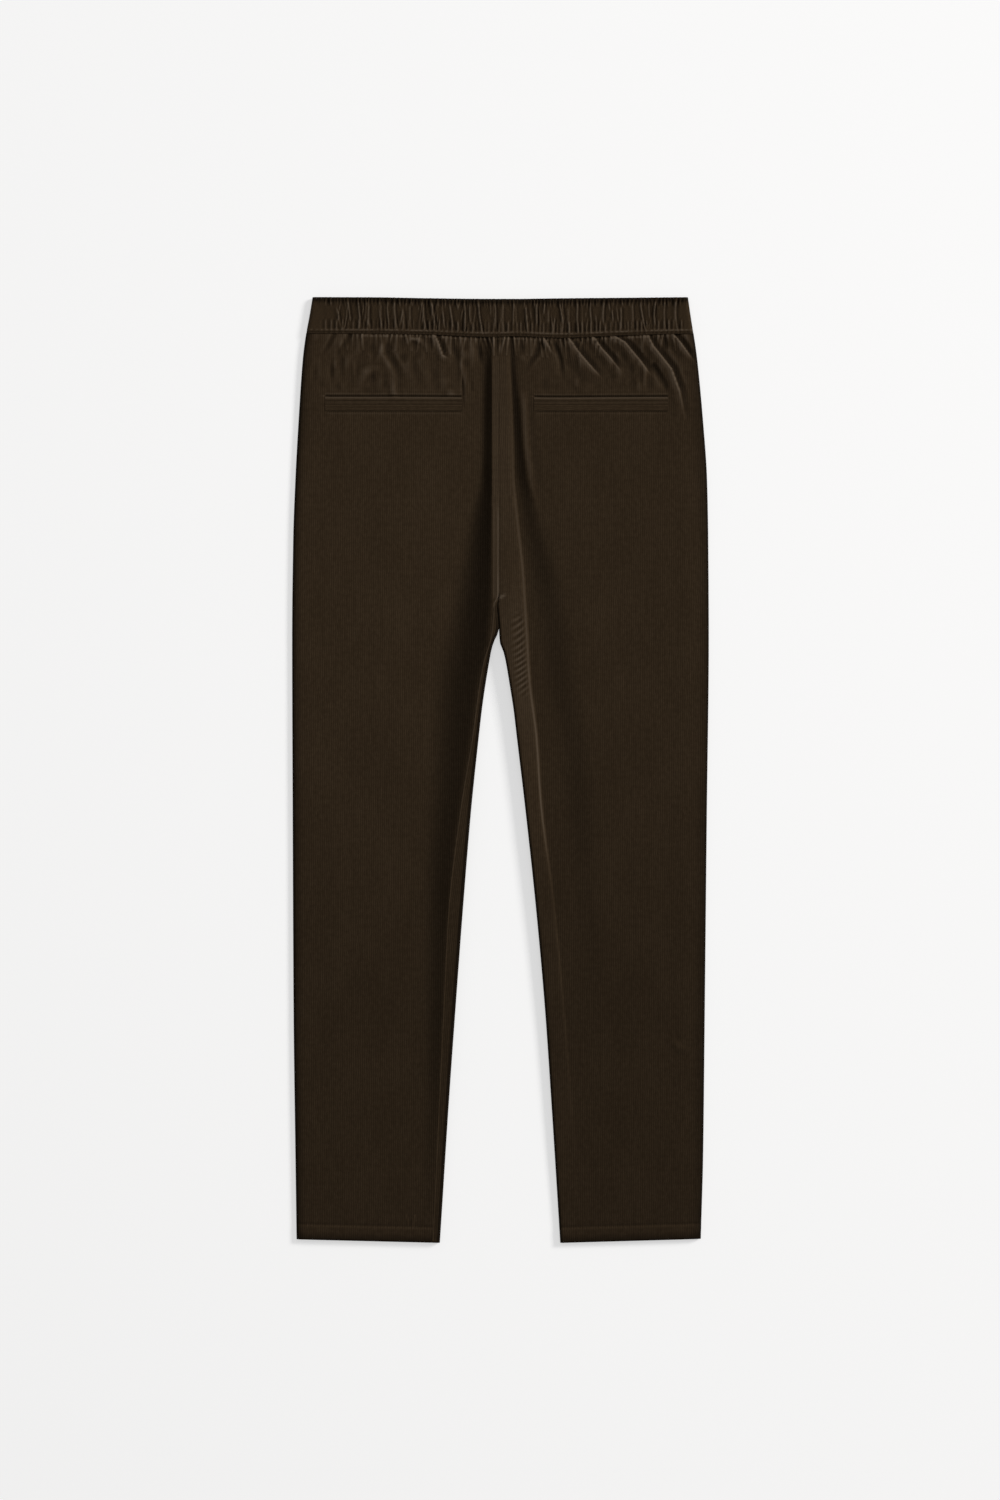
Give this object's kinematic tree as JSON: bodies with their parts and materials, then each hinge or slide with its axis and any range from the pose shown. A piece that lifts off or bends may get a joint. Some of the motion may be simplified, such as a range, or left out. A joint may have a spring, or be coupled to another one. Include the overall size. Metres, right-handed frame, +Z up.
{
  "type": "trousers",
  "caption": "Full-length corduroy trousers laid flat with the back uppermost: gathered elastic back waistband, welt back pockets, straight tapered legs and turned hems.",
  "frame": {"origin": "centre of the garment's bounding box, on the surface that it lies on", "axes": "+X to the right seen from above, +Y along the garment towards the waist, +Z up, away from the surface it lies on; the back is uppermost"},
  "size_m": [0.4589, 1.0406, 0.0136],
  "materials": {
    "corduroy": "dark brown fine-wale cotton corduroy, wales down the legs, matt with a slight sheen on folds"
  },
  "bodies": {
    "root": {"back_left": "corduroy", "back_right": "corduroy", "front_left": "corduroy", "front_right": "corduroy", "waistband_back": "corduroy", "waistband_front": "corduroy", "welt_left": "corduroy", "welt_right": "corduroy"}
  },
  "joints": []
}
